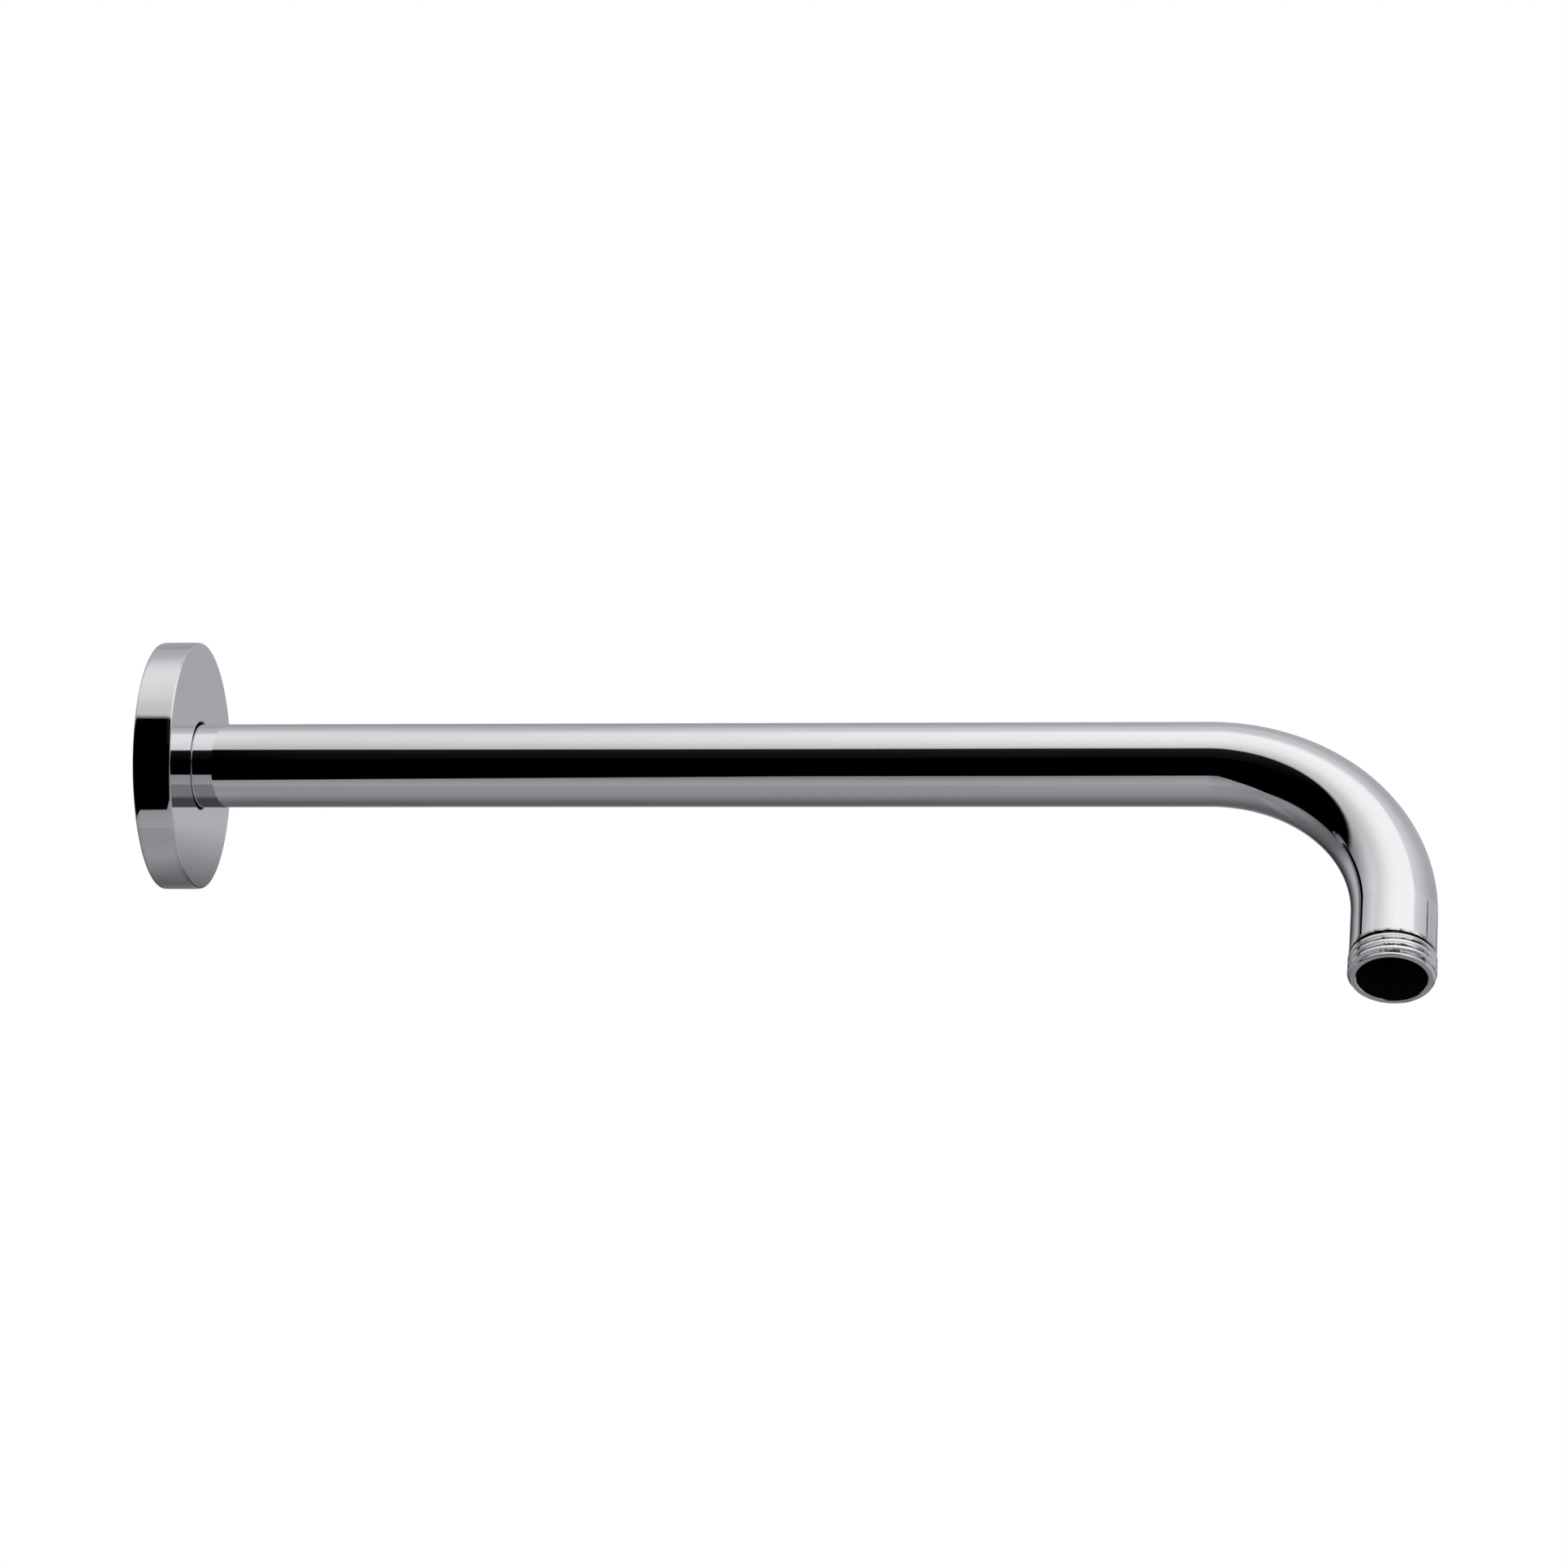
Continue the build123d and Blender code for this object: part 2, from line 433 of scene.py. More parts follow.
def cut_thread(finish):
    """Thinly plated thread: bright on its crests, torn in its roots, with painted shade darkening its grooves and
    painted black shade in its undercut.
    """
    material, tree = new_material("cut_thread")
    marks = place_group(tree, cutting_marks(), -900, 0, streak=0.4, pit_start=0.45).outputs
    buff = place_group(tree, buffing_marks(), -900, -250, haze_scale=400.0).outputs
    root = add_node(tree, "ShaderNodeAttribute", -900, 300, attribute_name="thread_root").outputs["Fac"]
    torn = combine(tree, -600, 250, "MULTIPLY", root, marks["Pits"])
    specks = remap(tree, -400, 350, torn, high=0.9, start=0.35, end=0.75)
    # Painted shade: the thread darkens towards the roots of its grooves
    groove_shade = remap(tree, -400, 600, root, high=0.4, start=0.62, end=0.95)
    # Painted shade: the undercut turns near black, broken up where there are pits
    undercut = remap(tree, -400, 850, root, high=0.95, start=1.05, end=UNDERCUT_ROOT)
    clean = remap(tree, -400, 1100, marks["Pits"], low=1.0, high=0.3)
    flecked_shade = combine(tree, -250, 950, "MULTIPLY", undercut, clean)
    thread_shade = combine(tree, -250, 700, "MAXIMUM", groove_shade, flecked_shade)
    # Torn pits are real dirt; the rest of this mask is painted shade in the grooves and undercut
    dirt_and_shade = combine(tree, -250, 450, "MAXIMUM", specks, thread_shade)
    haze = remap(tree, -400, 0, buff["Haze"], low=0.06, high=0.13, start=0.3, end=0.8)
    rough = combine(tree, -100, -50, "ADD", haze, remap(tree, -400, -250, torn, high=0.25), clamp=True)
    colours = finish.thread, finish.thread_grime_and_shade
    dress(tree, colours, dirt_and_shade, rough, marks["Height"], relief=0.02 * MM, metallic=1.0)
    return material


def turned_back(finish):
    """Plated but unpolished metal with the lathe's fine rings."""
    material, tree = new_material("turned_back")
    link = tree.links.new
    marks = place_group(tree, cutting_marks(), -900, 0, pit_scale=900.0, tear_scale=60.0, pit_share=0.35).outputs
    where = add_node(tree, "ShaderNodeTexCoord", -1200, -300)
    flat = add_node(tree, "ShaderNodeVectorMath", -1000, -300, operation="MULTIPLY")
    flat.inputs[1].default_value = LATHE_RING_STRETCH
    link(where.outputs["Object"], flat.inputs[0])
    radius = add_node(tree, "ShaderNodeVectorMath", -800, -300, operation="LENGTH")
    link(flat.outputs["Vector"], radius.inputs[0])
    rings = add_node(tree, "ShaderNodeTexNoise", -600, -300, noise_dimensions="1D")
    rings.inputs["Scale"].default_value = LATHE_RING_SCALE
    rings.inputs["Detail"].default_value = 2.0
    link(radius.outputs["Value"], rings.inputs["W"])
    rough = remap(tree, -100, 0, marks["Height"], low=0.24, high=0.42, start=0.3, end=0.7)
    colours = finish.back, finish.back_stain
    dress(tree, colours, marks["Pits"], rough, rings.outputs["Fac"], relief=0.03 * MM, metallic=1.0)
    return material


def dull_waterway(finish):
    """Dull metal inside the tube with an oxide film, its colour darkened to near black as painted shade."""
    material, tree = new_material("dull_waterway")
    marks = place_group(tree, cutting_marks(), -600, 0, pit_scale=500.0, tear_scale=90.0).outputs
    rough = remap(tree, -100, 0, marks["Height"], low=0.7, high=0.95, start=0.3, end=0.7)
    # The near-black waterway colours are painted shade inside the tube; the pits of oxide film are real
    colours = finish.waterway, finish.waterway_film
    dress(tree, colours, marks["Pits"], rough, marks["Height"], relief=0.05 * MM, metallic=0.0, ior=1.15)
    return material


def black_rubber(finish):
    """Moulded rubber with a faint bloom."""
    material, tree = new_material("black_rubber")
    marks = place_group(tree, cutting_marks(), -600, 0, pit_scale=3000.0, tear_scale=160.0, pit_share=0.4).outputs
    rough = remap(tree, -100, 0, marks["Height"], low=0.45, high=0.7, start=0.3, end=0.7)
    colours = finish.rubber, finish.rubber_bloom
    dress(tree, colours, marks["Pits"], rough, marks["Height"], relief=0.04 * MM, metallic=0.0, ior=1.5)
    return material


# Pieces

POLISHED, THREADED, WATERWAY = 0, 1, 2
TURNED = 1
HIDDEN_THREAD_STEP = 0.06 * MM
SEEN_THREAD_STEP = 0.03 * MM
STRAIGHT_ROWS, BEND_STEPS, TAIL_ROWS = 33, 96, 6
ROUND_STEPS, BACK_EDGE_STEPS = 5, 4
RIM_CORNER_STEPS, RIM_CROWN_STEPS = 7, 6
RING_SEAT_STEPS, RING_BEAD_STEPS = 3, 24
UNDERCUT_SLOPE = 2.5
UNDERCUT_CORNER = 0.12 * MM
BEND_HOLD = 0.4 * MM
FLANGE_HOLD = 0.04 * MM
RING_EDGE = 0.15 * MM
RING_SEAM = 0.1 * MM
# Share of a turn that the thread is turned on the tube
SEEN_TURN = 0.5
# Depth that the thread's finish and its painted shade go by: none on a crest, full in a groove, more in the undercut
LIP_ROOT, GROOVE_ROOT, UNDERCUT_ROOT = 0.7, 1.0, 1.5
GROOVE_GAIN = 1.3
# Nicks on the lip, as sines of (waves round the lip, lag in turns), and the limits of their sum
LIP_WAVES = ((9, 0.1), (23, 0.6), (41, 0.3), (67, 0.8))
LIP_WAVE_LIMITS = (-1.0, 2.0)


class SHOWERARM_OT_tube(Operator):
    """Build the bent tube with its two threaded ends and its waterway"""

    bl_idname = "shower_arm.tube"
    bl_label = "Arm Tube"

    def execute(self, context):
        s = context.scene.shower_arm_tube
        bend_start = s.reach - s.bend_radius
        bend_end = bend_start + s.bend_radius * pi / 2
        last = bend_end - s.bend_radius - s.outlet_end
        first = s.inlet_end

        def station(along):
            if along <= bend_start:
                return (along, 0.0, 0.0), (0.0, 0.0, 1.0)
            turn = min((along - bend_start) / s.bend_radius, pi / 2)
            down = s.bend_radius * (1 - cos(turn)) + max(along - bend_end, 0.0)
            return (bend_start + s.bend_radius * sin(turn), 0.0, -down), (sin(turn), 0.0, cos(turn))

        turn = np.arange(s.segments) / s.segments
        root_radius = s.thread_radius - s.thread_depth
        cut_length = s.thread_length - s.undercut_width
        hidden = np.linspace(0.0, cut_length, round(cut_length / HIDDEN_THREAD_STEP) + 1)
        seen = np.linspace(cut_length, 0.0, round(cut_length / SEEN_THREAD_STEP) + 1)

        def threaded(from_end, along):
            """Radii round one ring of a threaded end, and how deep each point lies in the thread."""
            turns = (along - last + s.first_crest) / s.thread_pitch + SEEN_TURN - turn
            radius = root_radius + thread_form(turns, s.thread_pitch, s.thread_depth)
            start = s.thread_radius - s.lead_depth
            lead = start + max(from_end - s.lead_land, 0.0) - max(s.lead_bevel - from_end, 0.0)
            wall = s.undercut_radius + (cut_length - from_end) * UNDERCUT_SLOPE
            radius = np.minimum(radius, min(lead, wall))
            depth = (min(s.thread_radius, lead) - radius) / s.thread_depth
            return radius, np.clip(GROOVE_GAIN * depth, 0.0, GROOVE_ROOT)

        rows, roots = [], []

        def add(along, radius, finish, root=0.0):
            rows.append((along, radius, finish))
            roots.append(np.broadcast_to(root, (s.segments,)))

        shoulder_in, shoulder_out = first + s.thread_length, last - s.thread_length
        corner = UNDERCUT_CORNER
        mouth = s.bore_radius + s.bore_chamfer
        for from_end in hidden:
            radius, root = threaded(from_end, first + from_end)
            add(first + from_end, radius, THREADED, root)
        add(first + cut_length + corner, s.undercut_radius, THREADED, UNDERCUT_ROOT)
        add(shoulder_in - corner, s.undercut_radius, THREADED, UNDERCUT_ROOT)
        add(shoulder_in, s.undercut_radius + corner, THREADED, UNDERCUT_ROOT)
        add(shoulder_in, s.tube_radius - s.shoulder_drop, POLISHED)
        for along in np.linspace(shoulder_in + s.shoulder_run, bend_start - BEND_HOLD, STRAIGHT_ROWS):
            add(along, s.tube_radius, POLISHED)
        for along in np.linspace(bend_start, bend_end, BEND_STEPS + 1):
            add(along, s.tube_radius, POLISHED)
        lip_end = shoulder_out + s.lip_overhang
        lip_start = lip_end - s.lip_length
        lip_radius = s.tube_radius - s.lip_drop
        for along in np.linspace(bend_end + BEND_HOLD, lip_start - corner, TAIL_ROWS):
            add(along, s.tube_radius, POLISHED)
        ragged = sum(np.sin(tau * (waves * turn + lag)) for waves, lag in LIP_WAVES)
        nicks = s.lip_nick * np.clip(ragged, *LIP_WAVE_LIMITS)
        add(lip_start, s.tube_radius - np.maximum(nicks, 0.0) / 2, THREADED, LIP_ROOT)
        add(lip_end, lip_radius - nicks, THREADED, LIP_ROOT)
        add(lip_end, lip_radius - nicks - corner, THREADED, UNDERCUT_ROOT)
        add(lip_end, s.undercut_radius + corner, THREADED, UNDERCUT_ROOT)
        add(lip_end + corner, s.undercut_radius, THREADED, UNDERCUT_ROOT)
        add(last - cut_length - corner, s.undercut_radius, THREADED, UNDERCUT_ROOT)
        for from_end in seen:
            radius, root = threaded(from_end, last - from_end)
            add(last - from_end, radius, THREADED, root)
        add(last, mouth, THREADED)
        add(last - s.bore_chamfer, s.bore_radius, WATERWAY, GROOVE_ROOT)
        for along in np.linspace(bend_end, bend_start, BEND_STEPS // 2 + 1):
            add(along, s.bore_radius, WATERWAY, GROOVE_ROOT)
        # Full groove depth here gives the inlet's bore the thread finish's painted shade
        add(first + s.bore_chamfer, s.bore_radius, THREADED, GROOVE_ROOT)
        add(first, mouth, THREADED)

        finish = context.scene.shower_arm_finish
        mesh = skin("arm_tube_skin", rows, s.segments, station, {"thread_root": roots})
        finishes = [polished_chrome(finish), cut_thread(finish), dull_waterway(finish)]
        add_piece("arm_tube_skin", mesh, finishes, "arm", "arm_tube")
        return {"FINISHED"}


class SHOWERARM_OT_flange(Operator):
    """Build the wall flange, a turned cup with a collar behind its face"""

    bl_idname = "shower_arm.flange"
    bl_label = "Wall Flange"

    def execute(self, context):
        s = context.scene.shower_arm_flange
        rim_inside = s.radius - s.rim_wall
        floor = s.depth - s.face_wall
        b, t, i = s.bore_round, s.turned_round, s.inner_round
        front = self.rim_edge(s, s.front_round)
        back = self.rim_edge(s, s.back_round)
        polished = [
            *((away, s.radius - drop) for away, drop in back),
            *((s.depth - away, s.radius - drop) for away, drop in reversed(front)),
            (s.depth, s.radius - front[0][1] - FLANGE_HOLD),
            (s.depth, s.bore_radius + b + FLANGE_HOLD),
            *arc((s.depth - b, s.bore_radius + b), b, 360, 270, ROUND_STEPS),
            (s.depth - b - FLANGE_HOLD, s.bore_radius),
        ]
        turned = [
            (s.groove_front, s.bore_radius),
            (s.groove_front, s.groove_radius),
            (s.groove_back, s.groove_radius),
            (s.groove_back, s.bore_radius),
            (s.collar_back + t, s.bore_radius),
            (s.collar_back, s.bore_radius + t),
            (s.collar_back, s.collar_radius - t),
            (s.collar_back + t, s.collar_radius),
            *arc((floor - i, s.collar_radius + i), i, 270, 360, ROUND_STEPS),
            *arc((floor - i, rim_inside - i), i, 0, 90, ROUND_STEPS),
            (t + FLANGE_HOLD, rim_inside),
            *arc((t, rim_inside + t), t, 270, 180, BACK_EDGE_STEPS),
        ]
        rows = [(x, y, POLISHED) for x, y in polished] + [(x, y, TURNED) for x, y in turned]
        finish = context.scene.shower_arm_finish
        mesh = skin("wall_flange_cup", rows, s.segments)
        finishes = [polished_chrome(finish), turned_back(finish)]
        add_piece("wall_flange_cup", mesh, finishes, "flange", "wall_flange")
        return {"FINISHED"}

    def rim_edge(self, s, edge):
        """Points of a rim edge from its end face to the rim, as (distance from the face, drop below the rim)."""
        turn = degrees(s.crown_turn)
        fall = s.crown_radius * (1 - cos(s.crown_turn))
        run = s.crown_radius * sin(s.crown_turn)
        tip = edge - edge * sin(s.crown_turn)
        corner = arc((edge, fall + edge * cos(s.crown_turn)), edge, 180, 270 - turn, RIM_CORNER_STEPS)
        crown = arc((tip + run, s.crown_radius), s.crown_radius, 270 - turn, 270, RIM_CROWN_STEPS)
        return corner + crown[1:] + [(tip + run + FLANGE_HOLD, 0.0)]


class SHOWERARM_OT_ring(Operator):
    """Build the rubber ring that grips the tube inside the flange"""

    bl_idname = "shower_arm.ring"
    bl_label = "Rubber Ring"

    def execute(self, context):
        s = context.scene.shower_arm_ring
        bead = (s.front - s.back) / 2
        middle = (s.front + s.back) / 2
        edge = RING_EDGE
        outline = [
            *arc((s.back + edge, s.outer_radius - edge), edge, 180, 90, RING_SEAT_STEPS),
            *arc((s.front - edge, s.outer_radius - edge), edge, 90, 0, RING_SEAT_STEPS),
        ]
        for x, y in arc((middle, s.inner_radius + bead), bead, 360, 180, RING_BEAD_STEPS):
            outline.append((x, y + s.flash * min(abs(x - middle) / RING_SEAM, 1.0)))
        mesh = skin("rubber_ring_bead", [(x, y, 0) for x, y in outline], s.segments)
        finishes = [black_rubber(context.scene.shower_arm_finish)]
        add_piece("rubber_ring_bead", mesh, finishes, "flange", "rubber_ring")
        return {"FINISHED"}


# Stage: cards that only reflections see, placed by azimuth from -Y towards +X and by elevation, in degrees

class Card(NamedTuple):
    """Glowing card whose cover fades across and up, by stops of (place, cover)."""
    name: str
    level: float
    distance: float
    across: tuple
    up: tuple
    over: str = "middle"
    neutral: bool = False
    lean: float = 0.0


# Brightness of the tent by elevation
TENT_LEVELS = (
    (-90, 0.47), (-63, 0.365), (-48, 0.315), (-33, 0.235), (-20, 0.158), (-9, 0.135), (3, 0.15), (9, 0.185),
    (15, 0.27), (30, 0.46), (36.6, 0.53), (38, 0.46), (50, 0.52), (62, 0.49), (90, 0.56),
)
CARDS = (
    Card(
        "back_wall", level=0.075, distance=6.0,
        across=((148, 0), (156, 1), (168, 1), (176, 0)),
        up=((-58, 0), (-36, 1), (35.7, 1), (36.65, 0)),
    ),
    Card(
        "left_wall", level=0.53, distance=5.0,
        across=((212, 0), (222, 0.12), (232, 0.42), (240, 0.78), (248, 1), (256, 1), (261, 0.6), (264, 0)),
        up=((-46, 0), (-33, 0.27), (-21, 0.33), (-9, 0.16), (3, 0.04), (9, 0), (15, 0.15), (21, 0.72), (27, 0.9),
            (33, 1), (42, 1), (60, 0)),
    ),
    Card(
        "dark_door", level=0.03, distance=4.5,
        across=((194, 0), (200, 0.8), (206, 1), (212, 0.96), (217, 0.87), (223, 0.73), (229, 0.56), (235, 0.31),
                (241, 0.07), (246, 0)),
        up=((-6, 0), (2, 0.3), (8, 0.6), (15, 0.95), (20, 1), (44, 1), (50, 0)),
    ),
    Card(
        "right_wall", level=0.5, distance=5.0,
        across=((76, 0), (82, 1), (98, 1), (104, 0)),
        up=((-9, 0), (-6, 1), (-1.5, 1), (0, 0)),
    ),
    Card(
        "right_floor", level=0.26, distance=4.0,
        across=((92, 0), (102, 1), (168, 1), (178, 0)),
        up=((-84, 0), (-78, 1), (-58, 1), (-36, 0)),
    ),
    Card(
        "right_shade", level=0.02, distance=5.5,
        across=((54, 0), (62, 1), (88, 1), (96, 0)),
        up=((-20, 0), (-13, 1), (22, 1), (32, 0)),
    ),
    Card(
        "right_sill", level=0.5, distance=3.9,
        across=((96, 0), (102, 1), (144, 1), (152, 0)),
        up=((-56, 0), (-48, 1), (14, 1), (24, 0)),
    ),
    Card(
        "back_ceiling", level=0.4, distance=5.5,
        across=((190, 0), (196, 1), (226, 1), (244, 0)),
        up=((50, 0), (58, 1), (71, 1), (79, 0)),
    ),
    Card(
        "softbox", level=1.15, distance=2.5, over="outlet", neutral=True,
        across=((-95, 0), (-83, 0.04), (-74, 0.17), (-66, 0.31), (-58, 0.44), (-50, 0.54), (-42, 0.61), (-34, 0.64),
                (-20, 0.62), (0, 0.6), (30, 0.58), (54, 0.5), (66, 0.39), (78, 0.29), (90, 0.18), (102, 0.1),
                (114, 0)),
        up=((2, 0.72), (15, 0.82), (24, 0.92), (33, 0.96), (45, 1), (60, 0.8), (69, 0.57), (75, 0.45), (82, 0.38),
            (90, 0.34)),
    ),
    Card(
        "window", level=1.11, distance=2.3, over="outlet", neutral=True, lean=-0.75,
        across=((-40, 0), (-30, 0.2), (-22, 0.42), (-12, 0.66), (-2, 0.84), (6, 1), (51, 1), (57, 0)),
        up=((2, 1), (56, 1), (60, 0.66), (63, 0.28), (66, 0.12), (69, 0.03), (72, 0)),
    ),
    Card(
        "flag_shade", level=0.0, distance=2.2,
        across=((-100, 0), (-88, 1), (-58, 1), (-42, 0.6), (-32, 0.25), (-22, 0)),
        up=((7, 0), (11, 0.2), (16, 0.2), (22, 0.09), (30, 0.03), (36, 0)),
    ),
    Card(
        "rim_fill", level=0.8, distance=0.6, over="flange", lean=-0.19,
        across=((181, 0), (184, 1), (194, 1), (200, 0)),
        up=((-66, 0), (-52, 0.094), (-42, 0.13), (-27, 0.117), (-12, 0.047), (-2, 0)),
    ),
    Card(
        "rim_shade", level=0.0, distance=0.6, over="flange",
        across=((-26, 0), (-22, 1), (-13.5, 1), (-10, 0)),
        up=((-24, 0), (-20, 1), (4.5, 1), (5.5, 0)),
    ),
    Card(
        "flange_shade", level=0.0, distance=0.6, over="flange",
        across=((-34, 0), (-26, 0.05), (-18, 0.09), (-12, 0.14), (-5, 0.11), (4, 0.08), (13, 0.035), (24, 0)),
        up=((8, 0), (18, 1), (62, 1), (90, 0.8)),
    ),
    Card(
        "stand", level=0.06, distance=2.4,
        across=((97.4, 0), (98.4, 1), (101.6, 1), (102.6, 0)),
        up=((26, 0), (29, 1), (33.8, 1), (34.5, 0)),
    ),
)
FLAG_SHEEN = Card(
    "flag_sheen", level=0.0132, distance=2.0,
    across=((-40, 0), (-28, 0.25), (-16, 0.75), (-8, 1), (8, 1), (20, 0)),
    up=((-20, 0), (-18.5, 0.4), (-12, 0.48), (-7.5, 0.56), (-2.5, 0.8), (1, 0.95), (3.5, 1), (6, 0)),
)
FRONT_FLAG = Card(
    "front_flag", level=0.0, distance=2.14,
    across=((-100.3, 0), (-96, 1), (52, 1), (58, 0)),
    up=((-74, 0), (-73.2, 1), (4.1, 1), (5.2, 0.93), (5.9, 0.82), (6.6, 0.64), (7.3, 0.44), (8, 0.27), (8.8, 0.12),
        (9.6, 0.04), (10.6, 0)),
)
# Flat card below the arm, with its stops in metres along X and Y
FLOOR_SHADE = Card(
    "floor_shade", level=0.0, distance=2.3,
    across=((-1.9, 0), (-1.6, 1), (-0.1, 1), (0.14, 0)),
    up=((-1, 0.4), (-0.75, 0.36), (-0.6, 0.28), (-0.45, 0.18), (-0.25, 0.09), (0, 0.04), (0.3, 0), (0.322, 0),
        (0.334, 0.125), (0.6, 0.09), (1, 0.04), (1.4, 0)),
)
# Straight edges of the flag's foot on the floor, by their distance from the middle and the azimuth square to them
FLAG_EDGE = (0.645, -31.4)
FLAG_CORNER = ((0.737, -45.6), (0.743, 0.0))
FLAG_EDGE_DROP = 2.0
FLAG_EDGE_SOFTNESS = 0.4
LEAST_COSINE = 0.02
# Elevation of the flag's head by azimuth
FLAG_HEAD = ((-100.3, 17.5), (-30, 12.25), (-18, 10.55), (-10, 9.05), (-6.5, 8.8), (-4.5, 9.45), (58, 4.75))
# Elevation at which a leaning card keeps its azimuth
LEAN_PIVOT = 39
SENSOR_WIDTH = 36.0
CLIP_START, CLIP_END = 0.01, 100.0
FLOOR_HALF = 14.0
# Distances over which the floor fades to white
FLOOR_FADE_START, FLOOR_FADE_END = 1.5, 5.0
# Each lamp's name, place, width and share of the key lamp's power
LAMPS = (("key_lamp", (0.6, -1.6, 1.9), 1.6, 1.0), ("fill_lamp", (-0.9, 1.4, 1.7), 2.0, 0.4))


def edge_run(edge, azimuth):
    """Distance of a straight edge on the floor, along an azimuth."""
    setback, square = edge
    return setback / max(cos(radians(azimuth - square)), LEAST_COSINE)


def flag_foot(azimuth):
    """Elevation of the flag's foot: a straight edge on the floor with a corner in it, lowered by half of its fade."""
    corner = min(edge_run(edge, azimuth) for edge in FLAG_CORNER)
    run = max(edge_run(FLAG_EDGE, azimuth), corner)
    return -degrees(atan2(FLAG_EDGE_DROP, run)) - FLAG_EDGE_SOFTNESS


def flag_head(azimuth):
    """Elevation of the flag's head, which rises to the left and dips near the middle."""
    return float(np.interp(azimuth, *zip(*FLAG_HEAD)))


def card_shape(card, centre, low=None, high=None, across=96, up=48):
    """Curved mesh of a card round a centre, with its span as UV. Low and high give its edges by azimuth."""
    left, right = card.across[0][0], card.across[-1][0]
    bottom, top = card.up[0][0], card.up[-1][0]
    points, spans = [], []
    for i in range(across + 1):
        azimuth = left + (right - left) * i / across
        foot = low(azimuth) if low else bottom
        head = high(azimuth) if high else top
        for j in range(up + 1):
            elevation = foot + (head - foot) * j / up
            a = radians(azimuth + card.lean * (elevation - LEAN_PIVOT))
            e = radians(elevation)
            points.append(Vector((sin(a) * cos(e), -cos(a) * cos(e), sin(e))) * card.distance + centre)
            spans.append((i / across, j / up))
    quads = [
        (i * (up + 1) + j, (i + 1) * (up + 1) + j, (i + 1) * (up + 1) + j + 1, i * (up + 1) + j + 1)
        for i in range(across) for j in range(up)
    ]
    mesh = bpy.data.meshes.new(card.name)
    mesh.from_pydata(points, [], quads)
    layer = mesh.uv_layers.new(name="span")
    corners = np.array(spans)[[v for quad in quads for v in quad]]
    layer.data.foreach_set("uv", corners.ravel())
    mesh.shade_smooth()
    return mesh


def sheet_shape(card):
    """Flat mesh of a card that lies below, with its span as UV. Its stops are metres along X and Y."""
    left, right = card.across[0][0], card.across[-1][0]
    near, far = card.up[0][0], card.up[-1][0]
    mesh = bpy.data.meshes.new(card.name)
    corners = [(left, near), (right, near), (right, far), (left, far)]
    mesh.from_pydata([(x, y, -card.distance) for x, y in corners], [], [(0, 1, 2, 3)])
    layer = mesh.uv_layers.new(name="span")
    layer.data.foreach_set("uv", (0.0, 0.0, 1.0, 0.0, 1.0, 1.0, 0.0, 1.0))
    return mesh


def shares(stops):
    """Stops of (place, value) as shares of their span."""
    first, last = stops[0][0], stops[-1][0]
    return [((place_now - first) / (last - first), value) for place_now, value in stops]


def span_ramp(tree, parts, axis, y, stops):
    """Ramp along one axis of a card's span."""
    ramp = add_node(tree, "ShaderNodeValToRGB", -400, y)
    set_ramp(ramp, stops)
    tree.links.new(parts.outputs[axis], ramp.inputs["Fac"])
    return ramp.outputs["Color"]


def span_parts(tree):
    """Share across and share up of a place on a card."""
    where = add_node(tree, "ShaderNodeTexCoord", -900, 0)
    parts = add_node(tree, "ShaderNodeSeparateXYZ", -700, 0)
    tree.links.new(where.outputs["UV"], parts.inputs["Vector"])
    return parts


def card_light(card, colour):
    """Even glow that fades to clear by the card's stops."""
    material, tree = new_material(card.name)
    parts = span_parts(tree)
    across = span_ramp(tree, parts, "X", 200, shares(card.across))
    up = span_ramp(tree, parts, "Y", -200, shares(card.up))
    glow = add_node(tree, "ShaderNodeEmission", 0, -200)
    glow.inputs["Color"].default_value = (*colour, 1.0)
    glow.inputs["Strength"].default_value = card.level
    clear = add_node(tree, "ShaderNodeBsdfTransparent", 0, 200)
    cover = combine(tree, 0, 0, "MULTIPLY", across, up)
    mix_shaders(tree, cover, clear.outputs["BSDF"], glow.outputs["Emission"])
    material.cycles.emission_sampling = "NONE"
    return material


def tent_light(name, colour, levels):
    """Glow whose brightness goes by elevation."""
    material, tree = new_material(name)
    link = tree.links.new
    stops = [(share, [level * part for part in colour]) for share, level in shares(levels)]
    glow = add_node(tree, "ShaderNodeEmission", 0, 0)
    link(span_ramp(tree, span_parts(tree), "Y", 0, stops), glow.inputs["Color"])
    output = add_node(tree, "ShaderNodeOutputMaterial", 250, 0)
    link(glow.outputs["Emission"], output.inputs["Surface"])
    material.cycles.emission_sampling = "NONE"
    return material


def add_card(mesh, material):
    """Puts a card where only reflections see it."""
    mesh.materials.append(material)
    card = bpy.data.objects.new(mesh.name, mesh)
    bpy.context.scene.collection.objects.link(card)
    card.visible_camera = False
    card.visible_diffuse = False
    card.visible_transmission = False
    card.visible_shadow = False


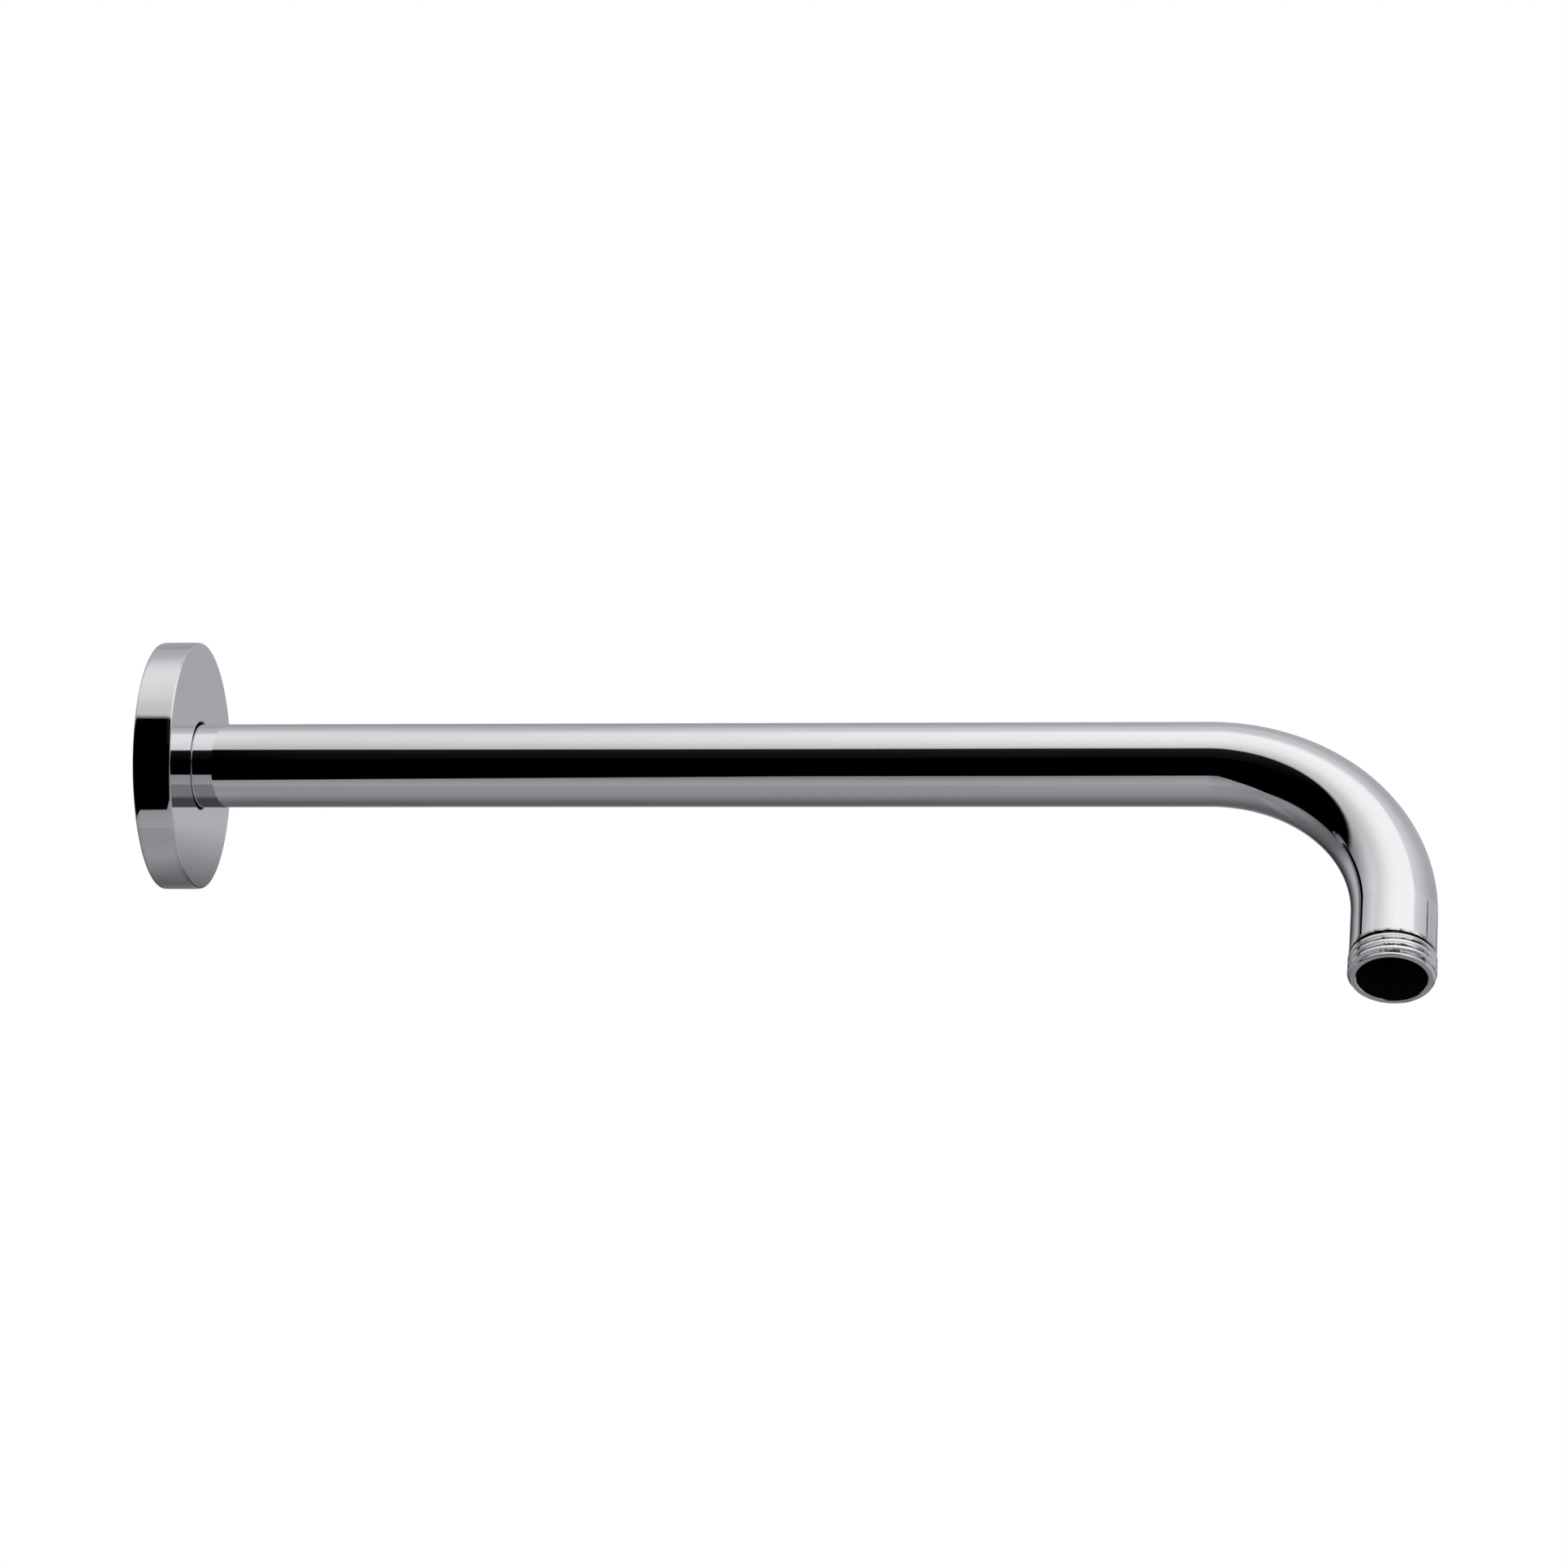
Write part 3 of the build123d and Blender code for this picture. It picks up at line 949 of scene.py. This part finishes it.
class SHOWERARM_OT_stage(Operator):
    """Set up the camera, the pale floor, the lamps and the studio cards"""

    bl_idname = "shower_arm.stage"
    bl_label = "Studio Stage"

    def execute(self, context):
        s = context.scene.shower_arm_stage
        context.scene.view_settings.view_transform = "Standard"
        self.add_camera(context, s)
        self.add_world(context, s)
        self.add_floor(context, s)
        self.add_lamps(context, s)
        self.add_cards(context, s)
        return {"FINISHED"}

    def add_camera(self, context, s):
        lens = bpy.data.cameras.new("picture_camera")
        lens.sensor_width = SENSOR_WIDTH
        lens.lens = s.focal_length
        lens.clip_start, lens.clip_end = CLIP_START, CLIP_END
        camera = bpy.data.objects.new("picture_camera", lens)
        context.scene.collection.objects.link(camera)
        sight = Vector(s.camera_aim) - Vector(s.camera_place)
        camera.location = s.camera_place
        camera.rotation_mode = "QUATERNION"
        camera.rotation_quaternion = Quaternion(sight.normalized(), s.camera_roll) @ sight.to_track_quat("-Z", "Y")
        context.scene.camera = camera

    def add_world(self, context, s):
        world = bpy.data.worlds.new("white_room")
        world.use_nodes = True
        tree = world.node_tree
        tree.nodes.clear()
        link = tree.links.new
        path = add_node(tree, "ShaderNodeLightPath", -700, 0)
        seen = combine(tree, -450, 100, "MAXIMUM", path.outputs["Is Camera Ray"], path.outputs["Is Glossy Ray"])
        through = combine(tree, -250, 0, "MAXIMUM", seen, path.outputs["Is Transmission Ray"])
        room = add_node(tree, "ShaderNodeBackground", 0, 0)
        room.inputs["Color"].default_value = (1.0, 1.0, 1.0, 1.0)
        link(remap(tree, -120, 200, through, low=s.room_level), room.inputs["Strength"])
        output = add_node(tree, "ShaderNodeOutputWorld", 250, 0)
        link(room.outputs["Background"], output.inputs["Surface"])
        context.scene.world = world

    def add_floor(self, context, s):
        mesh = bpy.data.meshes.new("pale_floor")
        corners = [(x * FLOOR_HALF, y * FLOOR_HALF, 0) for x, y in ((-1, -1), (1, -1), (1, 1), (-1, 1))]
        mesh.from_pydata(corners, [], [(0, 1, 2, 3)])
        floor = bpy.data.objects.new("pale_floor", mesh)
        floor.location = (s.camera_aim[0], 0.0, -s.floor_drop)
        context.scene.collection.objects.link(floor)
        material, tree = new_material("pale_floor")
        where = add_node(tree, "ShaderNodeTexCoord", -900, 0)
        away = add_node(tree, "ShaderNodeVectorMath", -700, 0, operation="LENGTH")
        tree.links.new(where.outputs["Object"], away.inputs[0])
        fade = remap(tree, -450, 0, away.outputs["Value"], start=FLOOR_FADE_START, end=FLOOR_FADE_END)
        matt = add_node(tree, "ShaderNodeBsdfDiffuse", -200, 100)
        matt.inputs["Color"].default_value = (*s.floor, 1.0)
        white = add_node(tree, "ShaderNodeEmission", -200, -100)
        mix_shaders(tree, fade, matt.outputs["BSDF"], white.outputs["Emission"])
        mesh.materials.append(material)
        floor.visible_glossy = False

    def add_lamps(self, context, s):
        for name, lamp_place, span, share in LAMPS:
            light = bpy.data.lights.new(name, "AREA")
            light.size = span
            light.energy = s.key_power * share
            lamp = bpy.data.objects.new(name, light)
            lamp.location = lamp_place
            aim = Vector(s.camera_aim) - Vector(lamp_place)
            lamp.rotation_mode = "QUATERNION"
            lamp.rotation_quaternion = aim.to_track_quat("-Z", "Y")
            lamp.visible_camera = False
            lamp.visible_glossy = False
            context.scene.collection.objects.link(lamp)

    def add_cards(self, context, s):
        centres = {
            "middle": Vector((s.camera_aim[0], 0.0, 0.0)),
            "outlet": Vector((context.scene.shower_arm_tube.reach, 0.0, 0.0)),
            "flange": Vector((0.0, 0.0, 0.0)),
        }
        grey, white = tuple(s.card), (1.0, 1.0, 1.0)
        tent = Card("grey_tent", 1.0, s.tent_radius, ((-180, 1.0), (180, 1.0)), ((-90, 1.0), (90, 1.0)))
        add_card(card_shape(tent, centres[tent.over], across=128, up=96), tent_light(tent.name, grey, TENT_LEVELS))
        for card in (*CARDS, FLAG_SHEEN):
            add_card(card_shape(card, centres[card.over]), card_light(card, white if card.neutral else grey))
        add_card(sheet_shape(FLOOR_SHADE), card_light(FLOOR_SHADE, grey))
        flag = card_shape(FRONT_FLAG, centres[FRONT_FLAG.over], flag_foot, flag_head)
        add_card(flag, card_light(FRONT_FLAG, grey))


class SHOWERARM_PT_panel(Panel):
    """Shower arm pieces and their sizes"""

    bl_idname = "SHOWERARM_PT_panel"
    bl_label = "Shower Arm"
    bl_space_type = "VIEW_3D"
    bl_region_type = "UI"
    bl_category = "Shower Arm"

    def draw(self, context):
        for operator, settings in SECTIONS:
            box = self.layout.box()
            box.operator(operator)
            group = getattr(context.scene, settings)
            for name in group.__annotations__:
                box.prop(group, name)
        box = self.layout.box()
        box.label(text="Finishes")
        finish = context.scene.shower_arm_finish
        for name in finish.__annotations__:
            box.prop(finish, name)


SECTIONS = (
    ("shower_arm.tube", "shower_arm_tube"),
    ("shower_arm.flange", "shower_arm_flange"),
    ("shower_arm.ring", "shower_arm_ring"),
    ("shower_arm.stage", "shower_arm_stage"),
)
GROUPS = {
    "shower_arm_tube": ShowerArmTube,
    "shower_arm_flange": ShowerArmFlange,
    "shower_arm_ring": ShowerArmRing,
    "shower_arm_finish": ShowerArmFinish,
    "shower_arm_stage": ShowerArmStage,
}
TOOLS = (SHOWERARM_OT_tube, SHOWERARM_OT_flange, SHOWERARM_OT_ring, SHOWERARM_OT_stage, SHOWERARM_PT_panel)


def register():
    for name, group in GROUPS.items():
        bpy.utils.register_class(group)
        setattr(bpy.types.Scene, name, PointerProperty(type=group))
    for tool in TOOLS:
        bpy.utils.register_class(tool)


def unregister():
    for tool in reversed(TOOLS):
        bpy.utils.unregister_class(tool)
    for name, group in reversed(GROUPS.items()):
        delattr(bpy.types.Scene, name)
        bpy.utils.unregister_class(group)


def main():
    register()
    bpy.ops.shower_arm.tube()
    bpy.ops.shower_arm.flange()
    bpy.ops.shower_arm.ring()
    bpy.ops.shower_arm.stage()


if __name__ == "__main__":
    main()
